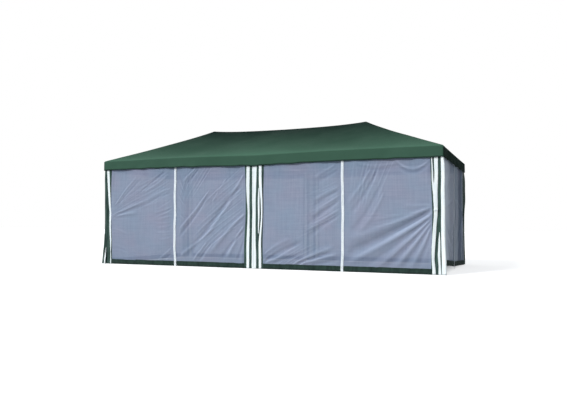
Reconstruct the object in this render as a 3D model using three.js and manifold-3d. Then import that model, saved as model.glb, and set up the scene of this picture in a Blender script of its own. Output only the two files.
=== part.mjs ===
// Screen house: a 6 x 3 m shelter with a steel-tube frame, a hipped canopy with two peaks,
// plain net walls at the back, and net walls with a zipped doorway at the front and at both ends.
//
// Millimetres, +Z up. The origin is on the ground at the middle of the plan, +X runs along the
// long side, and the two front doorways face -Y.

import * as THREE from "three";
import { mergeVertices } from "three/addons/utils/BufferGeometryUtils.js";
import Module from "manifold-3d";

// Canopy.
const LENGTH = 6000;
const WIDTH = 3000;
const EAVE_HEIGHT = 1880;
const RIDGE_HEIGHT = 2500;
const PEAK_TIP_HEIGHT = 2545;
const PEAK_SPACING = 3000;
const PEAK_TIP_SLOPE = 0.6;
const PEAK_TIP_RADIUS = 300;
const VALANCE_DROP = 170;
const CANOPY_THICKNESS = 3;

// Frame lines: the axes of the legs, the eave rails and the ridge.
const LEG_INSET = 45;
const RAIL_HEIGHT = 1868;
const RIDGE_TUBE_HEIGHT = 2470;

// Tubes and the fittings they push into.
const LEG_RADIUS = 12.5;
const RAIL_RADIUS = 11;
const TUBE_WALL = 1;
const TUBE_SIDES = 12;
const LEG_JOINT_HEIGHT = 950;
const SWAGE_LENGTH = 60;
const SWAGE_TAPER = 15;
const HUB_RADIUS = 17;
const SOCKET_RADIUS = 15.5;
const SOCKET_LENGTH = 80;
const SOCKET_FLOOR = 30;
const PEAK_CAP_HEIGHT = 45;
const FIT_GAP = 0.3;

// Foot plates.
const FOOT_SIDE = 70;
const FOOT_THICKNESS = 4;
const PEG_HOLE_RADIUS = 5;
const PEG_HOLE_OFFSET = 24;

// Net walls, measured from the leg axes.
const WALL_OUTSET = 21;
const WALL_THICKNESS = 2;
const WALL_BOTTOM = 12;
const WALL_TOP = 1835;
const WALL_CLEARANCE = 3;

// Zips.
const ZIP_TAPE_WIDTH = 18;
const ZIP_TEETH_GAP = 4;
const SLIDER_HEIGHT = 75;
const SLIDER_WIDTH = 16;
const SLIDER_LENGTH = 24;
const SLIDER_PLATE = 2;
const SLIDER_CLEARANCE = 0.5;
const PULL_WIDTH = 8;
const PULL_LENGTH = 38;
const PULL_THICKNESS = 1.6;
const PULL_GAP = 1.4;

const LEG_X = LENGTH / 2 - LEG_INSET;
const LEG_Y = WIDTH / 2 - LEG_INSET;
const PEAK_X = PEAK_SPACING / 2;
const ROOF_SLOPE = (RIDGE_HEIGHT - EAVE_HEIGHT) / (WIDTH / 2);
const UP = new THREE.Vector3(0, 0, 1);

const wasm = await Module();
wasm.setup();

const house = new THREE.Group();

// Materials. Every mesh gets its own copy.

const finishes = {
  steel: { color: 0xe4e6e4, roughness: 0.35, metalness: 0.3 },
  fitting: { color: 0x3c4240, roughness: 0.55, metalness: 0 },
  canopy: { color: 0x3f5a4c, roughness: 0.85, metalness: 0 },
  net: { color: 0x8c97ae, roughness: 0.9, metalness: 0 },
  zipTape: { color: 0xe6f0f2, roughness: 0.8, metalness: 0 },
  zipSlider: { color: 0xb8bcbe, roughness: 0.3, metalness: 0.9 },
};

function addMesh(name, geometry, finish, parent = house) {
  const mesh = new THREE.Mesh(geometry, new THREE.MeshStandardMaterial(finishes[finish]));
  mesh.name = name;
  parent.add(mesh);
  return mesh;
}

// Booleans.

function toSolid(geometry) {
  geometry.deleteAttribute("normal");
  geometry.deleteAttribute("uv");
  const merged = mergeVertices(geometry);
  const mesh = new wasm.Mesh({
    numProp: 3,
    vertProperties: Float32Array.from(merged.attributes.position.array),
    triVerts: Uint32Array.from(merged.index.array),
  });
  return new wasm.Manifold(mesh);
}

function toGeometry(solid) {
  const mesh = solid.getMesh();
  const geometry = new THREE.BufferGeometry();
  geometry.setAttribute("position", new THREE.BufferAttribute(mesh.vertProperties, 3));
  geometry.setIndex(new THREE.BufferAttribute(mesh.triVerts, 1));
  geometry.computeVertexNormals();
  return geometry;
}

function box(width, depth, height, x = 0, y = 0, z = 0) {
  return new THREE.BoxGeometry(width, depth, height).translate(x, y, z);
}

// A solid of revolution about +Z from [radius, height] pairs.
function turned(profile, sides = TUBE_SIDES) {
  const points = profile.map(([radius, height]) => new THREE.Vector2(radius, height));
  return new THREE.LatheGeometry(points, sides).rotateX(Math.PI / 2);
}

function rod(radius, bottom, top) {
  const middle = (bottom + top) / 2;
  const cylinder = new THREE.CylinderGeometry(radius, radius, top - bottom, TUBE_SIDES);
  return cylinder.rotateX(Math.PI / 2).translate(0, 0, middle);
}

function pointedAlong(geometry, direction) {
  const turn = new THREE.Quaternion().setFromUnitVectors(UP, direction.clone().normalize());
  return geometry.applyQuaternion(turn);
}

// Legs: a lower tube on a foot plate, and an upper tube whose swaged end slides into it.

function lowerLegGeometry() {
  const inner = LEG_RADIUS - TUBE_WALL;
  const tube = turned([
    [inner, FOOT_THICKNESS - 1],
    [LEG_RADIUS, FOOT_THICKNESS - 1],
    [LEG_RADIUS, LEG_JOINT_HEIGHT],
    [inner, LEG_JOINT_HEIGHT],
    [inner, FOOT_THICKNESS - 1],
  ]);
  const plate = box(FOOT_SIDE, FOOT_SIDE, FOOT_THICKNESS, 0, 0, FOOT_THICKNESS / 2);
  const pegHole = rod(PEG_HOLE_RADIUS, -1, FOOT_THICKNESS + 1);
  pegHole.translate(PEG_HOLE_OFFSET, -PEG_HOLE_OFFSET, 0);
  return toGeometry(toSolid(plate).subtract(toSolid(pegHole)).add(toSolid(tube)));
}

function upperLegGeometry() {
  const inner = LEG_RADIUS - TUBE_WALL;
  const swageOuter = inner - FIT_GAP;
  const swageInner = swageOuter - TUBE_WALL;
  const shoulder = LEG_JOINT_HEIGHT + FIT_GAP;
  const swageEnd = shoulder - SWAGE_LENGTH;
  const top = RAIL_HEIGHT - SOCKET_FLOOR - FIT_GAP;
  return turned([
    [swageInner, swageEnd],
    [swageOuter, swageEnd],
    [swageOuter, shoulder],
    [LEG_RADIUS, shoulder],
    [LEG_RADIUS, top],
    [inner, top],
    [inner, shoulder + SWAGE_TAPER],
    [swageInner, shoulder],
    [swageInner, swageEnd],
  ]);
}

// Tubes between two hubs, and the fittings at the hubs.

function addTube(name, from, to) {
  const span = to.clone().sub(from);
  const start = SOCKET_FLOOR + FIT_GAP;
  const end = span.length() - start;
  const inner = RAIL_RADIUS - TUBE_WALL;
  const geometry = turned([
    [inner, start],
    [RAIL_RADIUS, start],
    [RAIL_RADIUS, end],
    [inner, end],
    [inner, start],
  ]);
  const tube = addMesh(name, geometry, "steel");
  tube.position.copy(from);
  tube.quaternion.setFromUnitVectors(UP, span.normalize());
}

// A ball hub with one open socket towards each arm, and a domed cap on the peak fittings.
function fittingGeometry(arms, capped = false) {
  let fitting = toSolid(new THREE.SphereGeometry(HUB_RADIUS, TUBE_SIDES, TUBE_SIDES / 2));
  if (capped) {
    const dome = new THREE.SphereGeometry(SOCKET_RADIUS, TUBE_SIDES, TUBE_SIDES / 2);
    dome.rotateX(Math.PI / 2).translate(0, 0, PEAK_CAP_HEIGHT);
    fitting = fitting.add(toSolid(rod(SOCKET_RADIUS, 0, PEAK_CAP_HEIGHT)));
    fitting = fitting.add(toSolid(dome));
  }
  for (const { direction } of arms) {
    fitting = fitting.add(toSolid(pointedAlong(rod(SOCKET_RADIUS, 0, SOCKET_LENGTH), direction)));
  }
  for (const { direction, tubeRadius } of arms) {
    const bore = rod(tubeRadius + FIT_GAP, SOCKET_FLOOR, SOCKET_LENGTH + 1);
    fitting = fitting.subtract(toSolid(pointedAlong(bore, direction)));
  }
  return toGeometry(fitting);
}

function addFitting(name, hub, neighbours, { leg = false, capped = false } = {}) {
  const arms = neighbours.map((neighbour) => ({
    direction: neighbour.clone().sub(hub),
    tubeRadius: RAIL_RADIUS,
  }));
  if (leg) {
    arms.push({ direction: UP.clone().negate(), tubeRadius: LEG_RADIUS });
  }
  addMesh(name, fittingGeometry(arms, capped), "fitting").position.copy(hub);
}

// Canopy: the outer roof and valance with the same shape, one cloth thickness smaller, taken out.

function gable(halfSpan, eave, bottom, depth) {
  const apex = eave + halfSpan * ROOF_SLOPE;
  const outline = new THREE.Shape([
    new THREE.Vector2(-halfSpan, bottom),
    new THREE.Vector2(halfSpan, bottom),
    new THREE.Vector2(halfSpan, eave),
    new THREE.Vector2(0, apex),
    new THREE.Vector2(-halfSpan, eave),
  ]);
  const prism = new THREE.ExtrudeGeometry(outline, { depth, bevelEnabled: false });
  return prism.translate(0, 0, -depth / 2).rotateX(Math.PI / 2);
}

function peakTip(x, tipHeight) {
  const base = tipHeight - PEAK_TIP_RADIUS * PEAK_TIP_SLOPE;
  const cone = turned([[0, base], [PEAK_TIP_RADIUS, base], [0, tipHeight]], 2 * TUBE_SIDES);
  return cone.translate(x, 0, 0);
}

function roofSolid(inset, bottom) {
  const steepness = Math.hypot(1, ROOF_SLOPE);
  const eave = EAVE_HEIGHT + inset * ROOF_SLOPE - inset * steepness;
  const tipHeight = PEAK_TIP_HEIGHT - inset * Math.hypot(1, PEAK_TIP_SLOPE);
  const sides = gable(WIDTH / 2 - inset, eave, bottom, 2 * LENGTH).rotateZ(Math.PI / 2);
  const ends = gable(LENGTH / 2 - inset, eave, bottom, 2 * WIDTH);
  return toSolid(sides)
    .intersect(toSolid(ends))
    .add(toSolid(peakTip(-PEAK_X, tipHeight)))
    .add(toSolid(peakTip(PEAK_X, tipHeight)));
}

function canopyGeometry() {
  const bottom = EAVE_HEIGHT - VALANCE_DROP;
  const outside = roofSolid(0, bottom);
  const inside = roofSolid(CANOPY_THICKNESS, bottom - 10);
  return toGeometry(outside.subtract(inside));
}

// Walls. Each is built in its own frame, with +X to the right and -Y outwards as seen from
// outside, and then turned to its side of the house.

function wallGroup(x, y, turn) {
  const group = new THREE.Group();
  group.position.set(x, y, 0);
  group.rotation.z = turn;
  house.add(group);
  return group;
}

function addPanel(name, left, right, finish, parent) {
  const height = WALL_TOP - WALL_BOTTOM;
  const panel = addMesh(name, box(right - left, WALL_THICKNESS, height), finish, parent);
  panel.position.set((left + right) / 2, 0, (WALL_BOTTOM + WALL_TOP) / 2);
}

// Two plates joined by a post that runs between the zip tapes, with a pull tab on the outside.
function sliderGeometry() {
  const plateMiddle = WALL_THICKNESS / 2 + SLIDER_CLEARANCE + SLIDER_PLATE / 2;
  const pullMiddle = plateMiddle + SLIDER_PLATE / 2 + PULL_GAP + PULL_THICKNESS / 2;
  const postWidth = ZIP_TEETH_GAP - 2 * SLIDER_CLEARANCE;
  const bridgeDepth = pullMiddle - plateMiddle;
  const bridgeMiddle = (plateMiddle + pullMiddle) / 2;
  const blocks = [
    box(SLIDER_WIDTH, SLIDER_PLATE, SLIDER_LENGTH, 0, -plateMiddle),
    box(SLIDER_WIDTH, SLIDER_PLATE, SLIDER_LENGTH, 0, plateMiddle),
    box(postWidth, 2 * plateMiddle, SLIDER_LENGTH / 2),
    box(postWidth, bridgeDepth, PULL_WIDTH, 0, -bridgeMiddle),
    box(PULL_WIDTH, PULL_THICKNESS, PULL_LENGTH, 0, -pullMiddle, (PULL_WIDTH - PULL_LENGTH) / 2),
  ];
  return toGeometry(blocks.map(toSolid).reduce((whole, block) => whole.add(block)));
}

function addZippedWall(name, span, group) {
  const tapeInner = ZIP_TEETH_GAP / 2;
  const tapeOuter = tapeInner + ZIP_TAPE_WIDTH;
  const netInner = tapeOuter + FIT_GAP;
  const edge = span / 2;
  addPanel(`${name}_net_left`, -edge, -netInner, "net", group);
  addPanel(`${name}_net_right`, netInner, edge, "net", group);
  addPanel(`${name}_zip_tape_left`, -tapeOuter, -tapeInner, "zipTape", group);
  addPanel(`${name}_zip_tape_right`, tapeInner, tapeOuter, "zipTape", group);
  const slider = addMesh(`${name}_zip_slider`, sliderGeometry(), "zipSlider", group);
  slider.position.z = SLIDER_HEIGHT;
}

// Assembly.

const sides = [
  { across: "front", y: -LEG_Y },
  { across: "back", y: LEG_Y },
];
const columns = [
  { along: "left", x: -LEG_X },
  { along: "middle", x: 0 },
  { along: "right", x: LEG_X },
];
const ends = [
  { along: "left", sign: -1 },
  { along: "right", sign: 1 },
];

for (const { across, y } of sides) {
  for (const { along, x } of columns) {
    addMesh(`lower_leg_${across}_${along}`, lowerLegGeometry(), "steel").position.set(x, y, 0);
    addMesh(`upper_leg_${across}_${along}`, upperLegGeometry(), "steel").position.set(x, y, 0);
  }
}

const ridgeHub = new THREE.Vector3(0, 0, RIDGE_TUBE_HEIGHT);
const peakHub = (sign) => new THREE.Vector3(sign * PEAK_X, 0, RIDGE_TUBE_HEIGHT);
const cornerHub = (sign, y) => new THREE.Vector3(sign * LEG_X, y, RAIL_HEIGHT);
const sideHub = (y) => new THREE.Vector3(0, y, RAIL_HEIGHT);

for (const { across, y } of sides) {
  for (const { along, sign } of ends) {
    const corner = cornerHub(sign, y);
    addTube(`eave_rail_${across}_${along}`, corner, sideHub(y));
    addTube(`hip_rafter_${across}_${along}`, corner, peakHub(sign));
    const cornerNeighbours = [sideHub(y), cornerHub(sign, -y), peakHub(sign)];
    addFitting(`corner_fitting_${across}_${along}`, corner, cornerNeighbours, { leg: true });
  }
  addTube(`side_rafter_${across}`, sideHub(y), ridgeHub);
  const sideNeighbours = [cornerHub(-1, y), cornerHub(1, y), ridgeHub];
  addFitting(`side_fitting_${across}`, sideHub(y), sideNeighbours, { leg: true });
}

for (const { along, sign } of ends) {
  addTube(`end_rail_${along}`, cornerHub(sign, -LEG_Y), cornerHub(sign, LEG_Y));
  addTube(`ridge_tube_${along}`, peakHub(sign), ridgeHub);
  const peakNeighbours = [ridgeHub, cornerHub(sign, -LEG_Y), cornerHub(sign, LEG_Y)];
  addFitting(`peak_fitting_${along}`, peakHub(sign), peakNeighbours, { capped: true });
}
const ridgeNeighbours = [peakHub(-1), peakHub(1), sideHub(-LEG_Y), sideHub(LEG_Y)];
addFitting("ridge_fitting", ridgeHub, ridgeNeighbours);

addMesh("canopy", canopyGeometry(), "canopy");

const wallX = LEG_X + WALL_OUTSET;
const wallY = LEG_Y + WALL_OUTSET;
const cornerGap = WALL_THICKNESS / 2 + WALL_CLEARANCE;
const bayStart = WALL_CLEARANCE;
const bayEnd = wallX - cornerGap;
const baySpan = bayEnd - bayStart;
const bayCentre = (bayStart + bayEnd) / 2;
const endSpan = 2 * (wallY - cornerGap);

for (const { along, sign } of ends) {
  const frontBay = wallGroup(sign * bayCentre, -wallY, 0);
  addZippedWall(`front_wall_${along}`, baySpan, frontBay);
  const endBay = wallGroup(sign * wallX, 0, sign * Math.PI / 2);
  addZippedWall(`end_wall_${along}`, endSpan, endBay);
  const backBay = wallGroup(sign * bayCentre, wallY, Math.PI);
  addPanel(`back_wall_${along}`, -baySpan / 2, baySpan / 2, "net", backBay);
}

export default house;
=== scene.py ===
"""Screen house: canopy, net walls, striped bands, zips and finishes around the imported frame.

Metres throughout, in the frame's own axes: +X along the long side, +Z up, front doorways to -Y.
The tables of folds, stripes and strips are in millimetres, and their twists in thousandths of a radian.
"""

import math

import bmesh
import bpy
import numpy as np
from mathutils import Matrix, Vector


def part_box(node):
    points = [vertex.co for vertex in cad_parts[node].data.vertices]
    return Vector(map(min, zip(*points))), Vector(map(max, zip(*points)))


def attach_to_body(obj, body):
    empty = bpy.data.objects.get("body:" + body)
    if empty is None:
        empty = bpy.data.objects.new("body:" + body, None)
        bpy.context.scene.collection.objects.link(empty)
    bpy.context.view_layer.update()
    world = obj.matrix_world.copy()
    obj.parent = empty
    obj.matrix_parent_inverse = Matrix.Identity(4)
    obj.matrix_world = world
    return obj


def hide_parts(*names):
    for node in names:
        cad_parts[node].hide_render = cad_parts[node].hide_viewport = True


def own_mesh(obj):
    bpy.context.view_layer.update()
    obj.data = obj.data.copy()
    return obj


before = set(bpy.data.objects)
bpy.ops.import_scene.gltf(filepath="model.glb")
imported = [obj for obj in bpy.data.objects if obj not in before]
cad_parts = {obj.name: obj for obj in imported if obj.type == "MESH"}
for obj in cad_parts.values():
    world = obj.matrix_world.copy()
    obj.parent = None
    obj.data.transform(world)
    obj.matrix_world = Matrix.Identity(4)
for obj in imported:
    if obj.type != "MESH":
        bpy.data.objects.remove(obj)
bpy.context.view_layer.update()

# ---- places taken from the frame


def middle(node):
    low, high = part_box(node)
    return (Vector(low) + Vector(high)) / 2


CANOPY_LOW, CANOPY_HIGH = (Vector(corner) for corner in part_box("canopy"))
HALF_LENGTH, HALF_WIDTH, TIP_HEIGHT = CANOPY_HIGH
VALANCE_DROP = 0.17
EAVE_HEIGHT = CANOPY_LOW.z + VALANCE_DROP
RIDGE_HEIGHT = TIP_HEIGHT - 0.045
PEAK_X = HALF_LENGTH - HALF_WIDTH
WALL_X = middle("end_wall_right_net_left").x
WALL_Y = middle("back_wall_left").y
WALL_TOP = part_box("back_wall_left")[1][2]
TEETH_GAP, TAPE_HALF = (corner[1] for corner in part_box("end_wall_right_zip_tape_right"))

# ---- cloth dimensions

GROUND_GAP = 0.003
HEM_HEIGHT = 0.088
TIE_HEIGHT = 0.92
CLOTH_THICKNESS = 0.0012

# ---- small maths


def smooth(value, start, end):
    """0 before start, 1 after end, and a smooth step between."""
    t = np.clip((value - start) / (end - start), 0, 1)
    return t * t * (3 - 2 * t)


def bump(value, centre, width):
    return np.exp(-(((value - centre) / width) ** 2))


def ripple(a, b, scale, seed):
    """Gentle irregular undulation from -1 to 1 over two cloth directions."""
    random = np.random.default_rng(seed)
    total = np.zeros(np.broadcast(a, b).shape)
    for octave in range(5):
        angle = random.uniform(0, math.pi)
        pitch = scale * random.uniform(0.6, 1.5)
        phase = random.uniform(0, 2 * math.pi)
        total = total + np.sin(
            2 * math.pi * (a * math.cos(angle) + b * math.sin(angle)) / pitch + phase
        )
    return total / 5


def follow(knots, heights):
    """Each column of a table of knots (height first) at the given heights, without sharp corners."""
    levels, *columns = (np.array(sorted(knots)) / 1000).T
    kernel = np.hanning(15) / np.hanning(15).sum()
    columns = [np.interp(heights, levels, column) for column in columns]
    return [np.convolve(np.pad(column, 7, mode="edge"), kernel, mode="valid") for column in columns]


# ---- node materials


class Nodes:
    """The node tree of a new material or world, with short calls for the nodes used here."""

    def __init__(self, owner):
        owner.use_nodes = True
        self.owner, self.tree = owner, owner.node_tree
        self.shader = self.tree.nodes.get("Principled BSDF")

    def fill(self, node, inputs):
        """Links each input to the given output, or sets it to the given value."""
        for key, value in inputs.items():
            socket = node.inputs[key.replace("_", " ") if isinstance(key, str) else key]
            if isinstance(value, bpy.types.NodeSocket):
                self.tree.links.new(value, socket)
            else:
                socket.default_value = value

    def add(self, kind, inputs={}, **settings):
        node = self.tree.nodes.new(kind)
        for key, value in settings.items():
            setattr(node, key, value)
        self.fill(node, inputs)
        return node

    def feed(self, **inputs):
        self.fill(self.shader, inputs)

    def value(self, name):
        return self.add("ShaderNodeAttribute", attribute_name=name).outputs["Fac"]

    def cloth(self):
        """The flat cloth coordinates that each sheet carries, in metres."""
        return self.add("ShaderNodeAttribute", attribute_name="cloth").outputs["Vector"]

    def place(self):
        return self.add("ShaderNodeTexCoord").outputs["Object"]

    def apart(self, vector):
        return self.add("ShaderNodeSeparateXYZ", {"Vector": vector}).outputs

    def noise(self, where, scale, detail=3.0, stretch=None):
        if stretch:
            where = self.add("ShaderNodeMapping", {"Vector": where, "Scale": stretch}).outputs["Vector"]
        inputs = {"Vector": where, "Scale": scale, "Detail": detail}
        return self.add("ShaderNodeTexNoise", inputs).outputs["Fac"]

    def threads(self, where, pitch, direction):
        inputs = {"Vector": where, "Scale": 1 / (pitch * 20) * 2 * math.pi, "Distortion": 0.0}
        return self.add("ShaderNodeTexWave", inputs, bands_direction=direction).outputs["Fac"]

    def weave(self, where, pitch):
        """Height of a plain weave: warp and weft threads crossing."""
        return self.math("MULTIPLY", self.threads(where, pitch, "X"), self.threads(where, pitch, "Y"))

    def math(self, operation, *values, clamp=False):
        inputs = dict(enumerate(values))
        return self.add("ShaderNodeMath", inputs, operation=operation, use_clamp=clamp).outputs[0]

    def spread(self, value, low, high, start=0.0, end=1.0):
        """value from start to end, mapped to low to high and held there."""
        inputs = {"Value": value, "From Min": start, "From Max": end, "To Min": low, "To Max": high}
        return self.add("ShaderNodeMapRange", inputs).outputs["Result"]

    def blend(self, share, *colours):
        first, second = ((*c, 1.0) if isinstance(c, tuple) else c for c in colours)
        return self.add("ShaderNodeMix", {0: share, 6: first, 7: second}, data_type="RGBA").outputs[2]

    def bump(self, height, distance, strength=1.0):
        inputs = {"Height": height, "Distance": distance, "Strength": strength}
        self.feed(Normal=self.add("ShaderNodeBump", inputs).outputs["Normal"])


def new_material(name):
    return Nodes(bpy.data.materials.new(name))


def canopy_material():
    nodes = new_material("canopy_cloth")
    cloth, from_seam = nodes.cloth(), nodes.value("seam")
    patches = nodes.noise(cloth, 1.6, 4.0)
    # The height value darkens the cloth from the eave towards the ridge and on the valances: painted shade,
    # with random patches over it.
    share = nodes.math("POWER", nodes.spread(nodes.value("height"), 0.0, 1.0), 0.62)
    drift = nodes.math("MULTIPLY_ADD", patches, 0.16, -0.08)
    share = nodes.math("ADD", share, drift, clamp=True)
    painted_shade_colour = nodes.blend(share, (0.067, 0.151, 0.103), (0.007, 0.019, 0.015))
    seam = nodes.math("MULTIPLY", nodes.spread(from_seam, 1.0, 0.0, 0.008, 0.016), 0.35)
    edge = nodes.math("MULTIPLY", nodes.spread(nodes.value("edge"), 1.0, 0.0, 0.016, 0.024), 0.65)
    double = nodes.math("MAXIMUM", seam, edge)
    row = nodes.spread(from_seam, 1.0, 0.0, 0.004, 0.006)
    stitches = nodes.math("MULTIPLY", nodes.threads(cloth, 0.005, "X"), row)
    relief = nodes.math("ADD", nodes.weave(cloth, 0.003), nodes.math("MULTIPLY", double, 2.0))
    nodes.bump(nodes.math("ADD", relief, stitches), 0.0006)
    nodes.feed(
        Base_Color=nodes.blend(double, painted_shade_colour, (0.014, 0.030, 0.024)),
        Roughness=nodes.spread(patches, 0.66, 0.88, 0.3, 0.7),
        Specular_IOR_Level=0.05,
    )
    return nodes.owner


def net_material():
    nodes = new_material("net")
    cloth, crease, gathered = nodes.cloth(), nodes.value("crease"), nodes.value("gathered")
    cells = nodes.weave(cloth, 0.0045)
    clouds = nodes.spread(nodes.noise(cloth, 1.9), 0.0, 1.0, 0.35, 0.65)
    upright = nodes.noise(cloth, 38.0, stretch=(1.0, 0.06, 1.0))
    level = nodes.noise(cloth, 38.0, stretch=(0.06, 1.0, 1.0))
    slubs = nodes.spread(nodes.math("ADD", upright, level), 0.30, 0.0, 0.75, 1.15)
    near_ground = nodes.spread(nodes.apart(cloth)["Y"], 0.30, 0.0, 0.15, 0.95)
    tint = nodes.blend(clouds, (0.262, 0.336, 0.458), (0.300, 0.326, 0.446))
    tint = nodes.blend(slubs, tint, (0.16, 0.20, 0.31))
    tint = nodes.blend(near_ground, tint, (0.15, 0.19, 0.29))
    # Painted highlight along the ridges of the folds and painted shade in their valleys.
    tint = nodes.blend(nodes.spread(crease, 0.0, 0.42), tint, (0.50, 0.58, 0.76))
    tint = nodes.blend(nodes.spread(crease, 0.45, 0.0, -1.0, 0.0), tint, (0.12, 0.15, 0.25))
    # Paler where the net carries painted light on the right end, and where it is doubled beside an end zip.
    tint = nodes.blend(gathered, tint, (0.79, 0.87, 1.0))
    denser = nodes.spread(crease, -0.05, 0.10, -1.0, 1.0)
    denser = nodes.math("ADD", denser, nodes.math("MULTIPLY", gathered, 0.12))
    alpha = nodes.math("ADD", nodes.spread(cells, 0.74, 0.91), denser, clamp=True)
    nodes.bump(cells, 0.0004)
    nodes.feed(Base_Color=tint, Alpha=alpha, Roughness=0.9, Specular_IOR_Level=0.1)
    return nodes.owner


def woven_material(name, light, dark, pitch=0.0025):
    nodes = new_material(name)
    cloth = nodes.cloth()
    smudges = nodes.noise(cloth, 6.0, 4.0, stretch=(3.0, 1.0, 1.0))
    nodes.bump(nodes.weave(cloth, pitch), 0.0005)
    nodes.feed(
        Base_Color=nodes.blend(nodes.spread(smudges, 0.0, 1.0, 0.35, 0.75), light, dark),
        Roughness=nodes.spread(smudges, 0.7, 0.9, 0.3, 0.7),
        Specular_IOR_Level=0.2,
        Sheen_Weight=0.03,
    )
    return nodes.owner


def hard_material(name, colours, marks, contrast, roughness, grain, relief, **values):
    """A hard finish with marks (noise settings) that blend its two colours, over a fine grain."""
    nodes = new_material(name)
    place = nodes.place()
    marked = nodes.noise(place, *marks)
    nodes.bump(nodes.noise(place, *grain), *relief)
    nodes.feed(
        Base_Color=nodes.blend(nodes.spread(marked, 0.0, 1.0, *contrast), *colours),
        Roughness=nodes.spread(marked, *roughness, 0.3, 0.7),
        **values,
    )
    return nodes.owner


SCRATCHES = (400.0, 3.0, (1.0, 1.0, 0.15))
MATERIALS = {
    "canopy": canopy_material(),
    "net": net_material(),
    "white": woven_material("stripe_white", (0.92, 0.98, 0.98), (0.78, 0.87, 0.90)),
    "green": woven_material("stripe_green", (0.050, 0.098, 0.080), (0.022, 0.044, 0.042)),
    "hem": woven_material("hem_cloth", (0.022, 0.048, 0.038), (0.012, 0.025, 0.022)),
    "tape": woven_material("zip_tape", (0.90, 0.95, 0.98), (0.76, 0.83, 0.88), pitch=0.0018),
    "tube": hard_material(
        "white_powder_coat", ((0.78, 0.80, 0.79), (0.62, 0.64, 0.63)), (7.0, 5.0), (0.5, 0.8),
        (0.28, 0.5), (900.0, 2.0), (0.0002, 0.4), Coat_Weight=0.15,
    ),
    "fitting": hard_material(
        "moulded_fitting", ((0.045, 0.052, 0.050), (0.085, 0.09, 0.088)), (25.0, 4.0), (0.45, 0.8),
        (0.45, 0.7), (600.0, 3.0), (0.0003, 0.6),
    ),
    "metal": hard_material(
        "die_cast_zip", ((0.62, 0.63, 0.64), (0.45, 0.46, 0.47)), SCRATCHES, (0.3, 0.7),
        (0.22, 0.42), SCRATCHES, (0.0001, 0.5), Metallic=0.9,
    ),
}

# ---- mesh building


def grid_faces(rows, columns, closed=False):
    """Quads over a grid of points stored row by row; closed joins the last column to the first."""
    faces = []
    for start in range(0, (rows - 1) * columns, columns):
        for column in range(columns if closed else columns - 1):
            here, after = start + column, start + (column + 1) % columns
            faces.append((here, after, after + columns, here + columns))
    return faces


def show(name, data):
    """A new object in the scene for a mesh, light or camera."""
    shown = bpy.data.objects.new(name, data)
    bpy.context.scene.collection.objects.link(shown)
    return shown


def new_piece(name, points, faces, materials, flat, thickness=0.0, **values):
    """A cloth mesh that carries its flat coordinates, and other named values, at its points."""
    mesh = bpy.data.meshes.new(name)
    mesh.from_pydata(np.asarray(points, float).reshape(-1, 3).tolist(), [], faces)
    for material in materials:
        mesh.materials.append(MATERIALS[material])
    mesh.shade_smooth()
    flat = np.pad(np.asarray(flat, np.float32).reshape(-1, 2), ((0, 0), (0, 1)))
    mesh.attributes.new("cloth", "FLOAT_VECTOR", "POINT").data.foreach_set("vector", flat.reshape(-1))
    for key, value in values.items():
        value = np.asarray(value, np.float32).reshape(-1)
        mesh.attributes.new(key, "FLOAT", "POINT").data.foreach_set("value", value)
    piece = show(name, mesh)
    if thickness:
        modifier = piece.modifiers.new("cloth", "SOLIDIFY")
        modifier.thickness, modifier.offset = thickness, 0.0
    return piece


def attach(piece, stands_for=None, body="root"):
    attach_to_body(piece, body)
    if stands_for:
        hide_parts(stands_for)


# ---- canopy

EAVE_BEND = 0.028
EAVE_DROP = 0.010
CORNER_RADIUS = 0.012
END_DIP = 0.004
MIDDLE_DIP = 0.024
PANEL_SAG = 0.038
RIDGE_DIP = 0.008
TIP_REACH = 0.42
TIP_ROUNDING = 0.02
ROOF_ROWS = 40
VALANCE_ROWS = 11
FRONT_COLUMNS = 168
END_COLUMNS = 84


def eased(count, strength):
    """Steps from 0 to 1 that are closer together at both ends."""
    s = np.linspace(0, 1, count + 1)
    return s - strength * np.sin(2 * math.pi * s) / (2 * math.pi)


def roof_height(x, y, rise):
    """Height of the cloth over a point of the plan; rise is 0 at the eave and 1 at the ridge."""
    across = np.clip(np.abs(x) / np.maximum(HALF_LENGTH - HALF_WIDTH * rise, 1e-6), 0, 1)
    along = np.clip(np.abs(y) / np.maximum(HALF_WIDTH * (1 - rise), 1e-6), 0, 1)
    on_end = (across > 0.9999) & (along < 0.9999)
    fall = np.sin(math.pi * rise**0.85)
    side_sag = (PANEL_SAG * np.sin(math.pi * across) ** 2 + 0.006 * (1 - across**2)) * fall
    sag = np.where(on_end, PANEL_SAG * (1 - along**2) * fall, side_sag)
    ridge_dip = RIDGE_DIP * np.clip(1 - (x / PEAK_X) ** 2, 0, 1) * smooth(rise, 0.75, 1.0)
    plane = EAVE_HEIGHT + (RIDGE_HEIGHT - EAVE_HEIGHT) * rise - sag - ridge_dip
    from_peak = np.hypot(np.abs(x) - PEAK_X, y)
    peak = (TIP_HEIGHT - RIDGE_HEIGHT - 0.003) * np.exp(
        -(np.sqrt(from_peak**2 + TIP_ROUNDING**2) - TIP_ROUNDING) / TIP_REACH
    )
    angle = np.arctan2(y, np.abs(x) - PEAK_X)
    tension = bump(from_peak, 0.38, 0.24) * 0.0025
    folds = tension * np.sin(13 * angle + 2.0 * np.sin(2 * angle))
    drift = 0.004 * ripple(x, y, 0.9, 4) * fall
    return np.minimum(plane + peak + folds + drift - left_droop(x), TIP_HEIGHT)


def left_droop(x):
    """The cloth is a little slacker at the left end than at the right."""
    return 0.008 * smooth(-x, 1.6, 2.5)


def eave_dip(x, y, on_long_side):
    """The eave and valance hang a little lower towards the middle legs and halfway along each end."""
    at_middle_leg = MIDDLE_DIP * np.clip(1 - np.abs(x) / PEAK_X, 0, 1) ** 1.5
    return np.where(on_long_side, at_middle_leg, END_DIP * np.clip(1 - (y / HALF_WIDTH) ** 2, 0, 1))


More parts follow.
